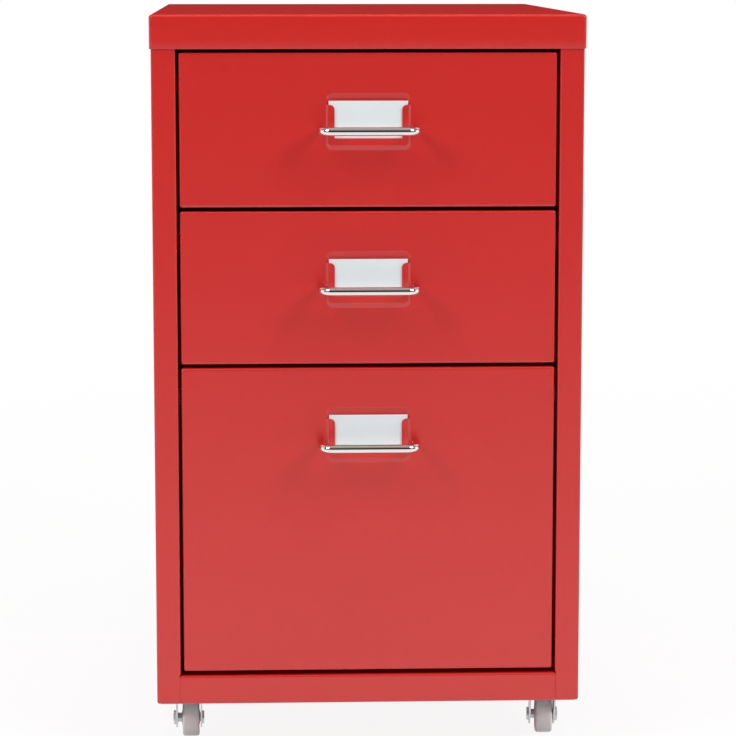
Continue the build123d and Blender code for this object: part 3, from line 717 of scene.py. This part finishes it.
# %% [markdown]
# ## Cards
# A card that has been pushed in by hand is never quite flat. A plain box would do for its outline, but
# would catch the light as one dead tone. So it is a grid with a bow of less than a tenth of a
# millimetre, which the lips leave room for.

# %% Label cards
BOW = 0.07 * MM
CARD_LINES = (15, 25)


def label_card(drawer):
    """Grid over the card; it bows by one minus the square of the distance from its middle line."""
    low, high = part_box(f"{drawer}_label_card")
    rows, columns = CARD_LINES
    x, z = np.meshgrid(np.linspace(low.x, high.x, columns), np.linspace(low.z, high.z, rows))
    y = low.y + BOW - BOW * (1.0 - (x / high.x) ** 2)
    points = np.stack([x, y, z], axis=-1)
    faces = grid_faces(rows, columns)
    body = f"card_{drawer[-1]}"
    wall = high.y - low.y - BOW
    return make_piece(f"{drawer}_paper_card", points, faces, body, [f"{drawer}_label_card"], PAPER, wall=wall)


for drawer in DRAWERS:
    label_card(drawer)

# %% [markdown]
# ## Wheels
# A caster wheel comes round out of its mould: every section through the axle is the same. So it is one
# closed profile carried round the axle, as the Screw modifier would do it, but straight along the axle
# that the record names. The profile has a tread that is a little crowned, soft shoulders, a groove on
# each side and a hub that stands out.

# %% Wheel profile
WHEEL_RADIUS = 12.5 * MM
WHEEL_HALF = 5.65 * MM
SHOULDER = 1.7 * MM
CROWN = 0.12 * MM
RIM_INNER = 9.9 * MM
GROOVE = 3.45 * MM
HUB_RADIUS = 5.0 * MM
HUB_HALF = 6.0 * MM
BORE = 2.6 * MM
SOFT = 0.2 * MM
PROFILE_LINES = 9


def wheel_profile():
    """Closed profile as (distance along the axle, radius): tread, shoulder, groove, hub and bore.

    The tread falls from the wheel's radius by the crown times the square of the way to the side. The
    corners of groove and hub are broken by a soft edge or two.
    """
    turn = np.linspace(0.0, math.pi / 2, PROFILE_LINES)
    along = np.linspace(-1.0, 1.0, PROFILE_LINES) * (WHEEL_HALF - SHOULDER)
    tread = np.stack([along, WHEEL_RADIUS - CROWN * (along / WHEEL_HALF) ** 2], axis=-1)
    corner = np.stack([np.sin(turn), np.cos(turn)], axis=-1) * SHOULDER
    shoulder = corner + [WHEEL_HALF - SHOULDER, tread[-1, 1] - SHOULDER]
    side = np.array(
        [
            [WHEEL_HALF, RIM_INNER + SOFT],
            [WHEEL_HALF - SOFT, RIM_INNER],
            [GROOVE + SOFT, RIM_INNER - 2 * SOFT],
            [GROOVE, RIM_INNER - 3 * SOFT],
            [GROOVE, HUB_RADIUS + 3 * SOFT],
            [GROOVE + SOFT, HUB_RADIUS + SOFT],
            [HUB_HALF - 2 * SOFT, HUB_RADIUS],
            [HUB_HALF, HUB_RADIUS - 2 * SOFT],
            [HUB_HALF, BORE + SOFT],
            [HUB_HALF - SOFT, BORE],
        ]
    )
    half = np.concatenate([shoulder[1:], side])
    return np.concatenate([tread, half, half[::-1] * [-1.0, 1.0]])


print("points of the wheel's profile", wheel_profile().shape[0])

# %% [markdown]
# The joint in the record says where the axle is and how it lies. The wheel sits a little to one side
# of the fork's middle, where the longer spacer pushes it.

# %% Wheels on their axles
WHEEL_SHIFT = 1.2 * MM
WHEEL_ROUND = 96


def caster_wheel(name):
    """The profile turned about the axle that the caster's rolling joint names."""
    joint = next(j for j in frame["joints"] if j["name"] == f"caster_{name}_roll")
    axle = np.array(joint["axis"]) / np.linalg.norm(joint["axis"])
    centre = np.array(joint["pos_m"]) + WHEEL_SHIFT * axle
    level = np.cross([0.0, 0.0, 1.0], axle)
    profile = wheel_profile()
    around = np.linspace(0.0, 2 * math.pi, WHEEL_ROUND, endpoint=False)
    spoke = np.cos(around)[:, None] * level + np.sin(around)[:, None] * [0.0, 0.0, 1.0]
    points = centre + profile[None, :, :1] * axle + profile[None, :, 1:] * spoke[:, None, :]
    faces = grid_faces(around.size, profile.shape[0], rows_close=True, columns_close=True)
    node = f"caster_{name}_wheel"
    return make_piece(f"{node}_moulded", points, faces[..., ::-1], f"wheel_{name}", [node], WHEEL)


CASTERS = ("front_left", "front_right", "rear_left", "rear_right")
for caster in CASTERS:
    caster_wheel(caster)

# %% [markdown]
# ## Screws
# The back, the top and the base are held by pan-head screws with a cross recess, and two more hold
# each handle from inside the drawer. A screw is one surface of rings round its axis: over the domed
# head, down its side, along the thread and into the tip. Cutting the recess with a Boolean would leave
# ragged faces round it. So it is pressed into the dome by lowering the points that lie in the cross,
# and the thread is a ridge that climbs as it goes round.

# %% One screw
AROUND = 72
RECESS_ARM = 0.58
RECESS_HALF = 0.16
RECESS_DEPTH = 0.55
RECESS_WALL = 0.05
DOME_RINGS = 23
DOME_FINE_END = 0.66
DOME_OUTER = [0.75, 0.86, 0.93]
HEAD_EDGE = np.array([[0.975, 0.57], [1.0, 0.46], [1.0, 0.0]])
THREAD_PITCH = 1.0 * MM
THREAD_DEPTH = 0.3 * MM
THREAD_START = 0.1 * MM
THREAD_RINGS = 49
TIP_POWER = 0.08


def cross_recess(across, up):
    """Depth of the recess in parts of the head's height, at a place in parts of its radius.

    It is deepest in the middle and rises evenly to half of that at the ends of the arms; its walls are
    steep.
    """
    along = np.maximum(np.abs(across), np.abs(up))
    aside = np.minimum(np.abs(across), np.abs(up))
    floor = np.clip(1.0 - along / RECESS_ARM, 0.0, 1.0) * 0.5 + 0.5 * (along < RECESS_ARM)
    wall = np.clip((RECESS_HALF - aside) / RECESS_WALL, 0.0, 1.0)
    return RECESS_DEPTH * floor * wall


def cross_screw(head_radius, head_height, shank, length):
    """Points (ring, around, 3) of a screw whose head stands on the level plane, along +Z.

    The dome falls by a third of its height with the square of the radius. Below the head the radius
    is the shank's minus the thread depth times half of one minus the cosine of the turns climbed. A
    small power of the way left closes the tip.
    """
    around = np.linspace(0.0, 2 * math.pi, AROUND, endpoint=False)
    share = np.concatenate([np.linspace(0.0, DOME_FINE_END, DOME_RINGS), DOME_OUTER])
    across = share[:, None] * np.cos(around)
    up = share[:, None] * np.sin(around)
    dome = head_height * (1.0 - share[:, None] ** 2 / 3.0 - cross_recess(across, up))
    down = np.linspace(0.0, -length, THREAD_RINGS)[:, None]
    ridge = 0.5 - 0.5 * np.cos(2 * math.pi * down / THREAD_PITCH - around)
    thread = shank - THREAD_DEPTH * ridge * (down < -THREAD_START)
    thread = thread * np.linspace(1.0, 0.0, THREAD_RINGS)[:, None] ** TIP_POWER
    rings = [
        (share[:, None] * head_radius, dome),
        (HEAD_EDGE[:, :1] * head_radius, HEAD_EDGE[:, 1:] * head_height),
        (thread, down),
    ]
    whole = [np.broadcast_arrays(radius, height, around)[:2] for radius, height in rings]
    radius = np.concatenate([ring[0] for ring in whole])
    height = np.concatenate([ring[1] for ring in whole])
    return np.stack([radius * np.cos(around), radius * np.sin(around), height], axis=-1)


print("recess in the middle of a head", cross_recess(0.0, 0.0), "of its height")

# %% [markdown]
# Each screw was stopped at another angle by whoever drove it in. So the copies are turned about their
# axis by a step that does not divide the circle evenly. A frame of three axes says which way the head
# looks, to the back or to the floor. The places follow from the boxes of the sheets that they hold.

# %% Screws of the case
SCREW_SHANK = 1.65 * MM
SCREW_HEAD = (3.0 * MM, 1.6 * MM)
SCREW_LENGTH = 6.0 * MM
TO_BACK = np.array([[1.0, 0.0, 0.0], [0.0, 0.0, -1.0], [0.0, 1.0, 0.0]])
TO_FLOOR = np.array([[1.0, 0.0, 0.0], [0.0, -1.0, 0.0], [0.0, 0.0, -1.0]])
SCREW_TURN = 2.4
BACK_SCREW_X = 131.15 * MM
BASE_SCREW_X = 132.5 * MM
ABOVE_SIDE_END = 30.0 * MM
BELOW_LIP = 20.0 * MM
IN_LIP = 11.0 * MM
SHARES_OF_DEPTH = (0.25, 0.5, 0.75)


def drive_screws(name, body, node, places, shape):
    """Copies of one screw at (point, frame) places, each turned about its axis by another angle."""
    patches = []
    for count, (point, axes) in enumerate(places):
        across, up = math.cos(SCREW_TURN * count), math.sin(SCREW_TURN * count)
        spin = np.array([[across, up, 0.0], [-up, across, 0.0], [0.0, 0.0, 1.0]])
        patches.append((shape @ spin @ axes + point, grid_faces(shape.shape[0], AROUND, columns_close=True)))
    points, faces = join_patches(patches)
    return make_piece(name, points, faces, body, [node], ZINC)


def case_screw_places():
    """Six screws in the back, two in the lip of the top and six under the base."""
    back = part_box("back_panel")
    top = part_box("top_cap")
    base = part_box("bottom_panel")
    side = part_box("side_panel_right")
    lowest = side[0].z + ABOVE_SIDE_END
    highest = top[0].z - BELOW_LIP
    heights = (lowest, (lowest + highest) / 2, highest)
    depths = [side[0].y + (side[1].y - side[0].y) * share for share in SHARES_OF_DEPTH]
    back_x = (-BACK_SCREW_X, BACK_SCREW_X)
    places = [((x, back[1].y, z), TO_BACK) for x in back_x for z in heights]
    places += [((x, top[1].y, top[0].z + IN_LIP), TO_BACK) for x in back_x]
    places += [((x, y, base[0].z), TO_FLOOR) for x in (-BASE_SCREW_X, BASE_SCREW_X) for y in depths]
    return places


case_screw = cross_screw(*SCREW_HEAD, SCREW_SHANK, SCREW_LENGTH)
drive_screws("case_cross_screws", "case", "case_screws", case_screw_places(), case_screw)

# %% [markdown]
# The screws of a handle are a size larger. They go through the drawer's front from inside, in line
# with the two legs, and their box tells how far they reach into the wire.

# %% Screws of the handles
HANDLE_HEAD = (3.6 * MM, 2.2 * MM)
HANDLE_SHANK = 2.0 * MM


def handle_screws(drawer):
    """Two screws from inside the drawer, in line with the legs of the handle."""
    low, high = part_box(f"{drawer}_handle_screws")
    leg = high.x - HANDLE_HEAD[0]
    inner = high.y - HANDLE_HEAD[1]
    places = [((x, inner, (low.z + high.z) / 2), TO_BACK) for x in (-leg, leg)]
    shape = cross_screw(*HANDLE_HEAD, HANDLE_SHANK, inner - low.y)
    return drive_screws(f"{drawer}_cross_screws", drawer, f"{drawer}_handle_screws", places, shape)


for drawer in DRAWERS:
    handle_screws(drawer)

# %% [markdown]
# ## Floor, light and camera
# The cabinet stands on a plain white floor. The camera sees it white on all sides. In reflections the
# floor glows with painted light, which fades slowly in front of the cabinet as a floor does away from
# the lamps, and so the coat is paler below than above by a painted reflection. Near the cabinet part
# of the real light stays in, so that the shadow does.

# %% Floor
FLOOR_RINGS = np.array([0.0, 0.5, 1.0, 2.0, 4.0, 8.0, 20.0, 70.0])
FLOOR_ROUND = 96
FLOOR_TONE = (0.88, 0.88, 0.88, 1.0)
# Painted light: depths in front of the cabinet over which the floor's glow in reflections fades, and its strengths
# there.
PAINTED_GLOW_DEPTHS = (-3.6, -0.1)
PAINTED_GLOW_TONES = (0.10, 1.0)
SHADOW_DISTANCES = (0.5, 2.0)
WHITE_SHARES = (0.90, 1.0)


def studio_floor():
    """Level disc of rings round the cabinet; white for the eye, with a share of real light near it, and a painted
    glow in reflections.
    """
    around = np.linspace(0.0, 2 * math.pi, FLOOR_ROUND, endpoint=False)
    x = FLOOR_RINGS[:, None] * np.cos(around)
    y = FLOOR_RINGS[:, None] * np.sin(around)
    points = np.stack([x, y, np.zeros_like(x)], axis=-1)
    mesh = bpy.data.meshes.new("studio_floor")
    faces = grid_faces(FLOOR_RINGS.size, FLOOR_ROUND, columns_close=True)
    mesh.from_pydata(points.reshape(-1, 3).tolist(), [], faces.reshape(-1, 4).tolist())
    floor = bpy.data.objects.new("studio_floor", mesh)
    bpy.context.scene.collection.objects.link(floor)
    finish = Finish("studio_floor_white")
    place = finish.place()
    depth = finish.node("ShaderNodeSeparateXYZ", {}, {0: place}, out=1)
    distance = finish.node("ShaderNodeVectorMath", {"operation": "LENGTH"}, {0: place}, out=1)
    camera_ray = finish.node("ShaderNodeLightPath", out="Is Camera Ray")
    # Painted light: in reflections the floor glows, fading with the depth in front of the cabinet.
    painted_floor_glow = finish.between(depth, *PAINTED_GLOW_DEPTHS, *PAINTED_GLOW_TONES)
    strength = camera_ray + (1.0 - camera_ray) * painted_floor_glow
    glossy_ray = finish.node("ShaderNodeLightPath", out="Is Glossy Ray")
    glass_ray = finish.node("ShaderNodeLightPath", out="Is Transmission Ray")
    seen = camera_ray + glossy_ray + glass_ray
    share = seen * finish.between(distance, *SHADOW_DISTANCES, *WHITE_SHARES)
    lit = finish.node("ShaderNodeBsdfDiffuse", {}, {"Color": FLOOR_TONE})
    white = finish.node("ShaderNodeEmission", {}, {"Color": (1.0, 1.0, 1.0, 1.0), "Strength": strength})
    mixed = finish.node("ShaderNodeMixShader", {}, {0: share, 1: lit, 2: white})
    finish.node("ShaderNodeOutputMaterial", {}, {"Surface": mixed})
    mesh.materials.append(finish.material)
    print("floor", 2 * FLOOR_RINGS[-1], "m across")
    return floor


studio_floor()

# %% [markdown]
# The room round the floor is dim near the horizon and lighter overhead, a little warm. A picture of a
# room could stand here, but a ramp over the height of the view gives the same bands in the chrome.

# %% Room
ROOM_SHADES = [(0.0, 0.012), (0.42, 0.03), (0.70, 0.30), (1.0, 0.52)]
ROOM_TINT = (1.0, 0.93, 0.88)


def studio_room():
    """World whose shade follows the upward part of the direction through a ramp."""
    world = bpy.data.worlds.new("studio_room")
    bpy.context.scene.world = world
    nodes = NodeTree(world)
    direction = nodes.node("ShaderNodeTexCoord", out="Generated")
    height = nodes.node("ShaderNodeSeparateXYZ", {}, {0: direction}, out="Z")
    red, green, blue = ROOM_TINT
    stops = [(place, (shade * red, shade * green, shade * blue, 1.0)) for place, shade in ROOM_SHADES]
    sky = nodes.node("ShaderNodeValToRGB", {"stops": stops}, {0: height})
    back = nodes.node("ShaderNodeBackground", {}, {"Color": sky})
    nodes.node("ShaderNodeOutputWorld", {}, {"Surface": back})
    print("room shades", len(stops))


studio_room()

# %% [markdown]
# Two soft lamps hang to the left and right of the camera, well above it. So a handle throws a soft
# shadow down to either side, and the bend between top and front, which faces the lamps most, is the
# brightest line of the coat. A pale panel on each side shows in the ends of the handles and in the
# upright bends. Two more lamps fill the top from above and the back from behind. They stay out of the
# reflections, because the chrome shows no lamp over it.

# %% Lamps
def soft_lamp(name, place, target, size, watts):
    """Rectangular lamp turned so that it looks from its place to the target."""
    lamp = bpy.data.lights.new(name, "AREA")
    lamp.shape = "RECTANGLE"
    lamp.size, lamp.size_y = size
    lamp.energy = watts
    item = bpy.data.objects.new(name, lamp)
    bpy.context.scene.collection.objects.link(item)
    item.location = place
    item.visible_camera = False
    aim = np.array(target) - np.array(place)
    item.rotation_euler = (math.atan2(math.hypot(aim[0], aim[1]), -aim[2]), 0.0, math.atan2(-aim[0], aim[1]))
    print(name, watts, "W")
    return item


soft_lamp("lamp_left", (-1.8, -1.8, 2.05), (0.0, -0.1, 0.30), (0.9, 1.3), 33.5)
soft_lamp("lamp_right", (1.8, -1.8, 2.05), (0.0, -0.1, 0.30), (0.9, 1.3), 36.5)
soft_lamp("panel_left", (-2.6, -0.25, 0.8), (0.0, -0.25, 0.30), (1.6, 1.6), 8.0)
soft_lamp("panel_right", (2.6, -0.25, 0.8), (0.0, -0.25, 0.30), (1.6, 1.6), 8.0)
lamp_above = soft_lamp("lamp_above", (0.0, -0.5, 2.3), (0.0, -0.1, 0.40), (1.2, 0.7), 16.0)
lamp_behind = soft_lamp("lamp_behind", (0.0, 2.3, 2.3), (0.0, 0.2, 0.30), (1.6, 1.0), 26.0)
for fill in (lamp_above, lamp_behind):
    fill.visible_glossy = False

# %% [markdown]
# The camera stands almost two metres in front of the cabinet, a little above its top and a little to
# the left, and looks slightly down, through a long lens. Its angles are in radians; the lens follows
# from the distance to the picture plane, counted in pixels of the frame.

# %% Camera
CAMERA_PLACE = (-74.7 * MM, -2042.2 * MM, 521.4 * MM)
CAMERA_DOWN = 0.1417
CAMERA_RIGHT = 0.0402
FOCAL_PIXELS = 2883.7
FRAME_PIXELS = 736.0
SENSOR = 36.0
camera_data = bpy.data.cameras.new("portrait_camera")
camera_data.sensor_width = SENSOR
camera_data.lens = FOCAL_PIXELS / FRAME_PIXELS * SENSOR
camera = bpy.data.objects.new("portrait_camera", camera_data)
bpy.context.scene.collection.objects.link(camera)
camera.location = CAMERA_PLACE
camera.rotation_euler = (math.pi / 2 - CAMERA_DOWN, 0.0, -CAMERA_RIGHT)
bpy.context.scene.camera = camera
bpy.context.scene.view_settings.view_transform = "Standard"
print("lens", round(camera_data.lens, 1), "mm")

# %% [markdown]
# ## Size
# The new pieces were made inside the boxes of the parts that they stand in for.
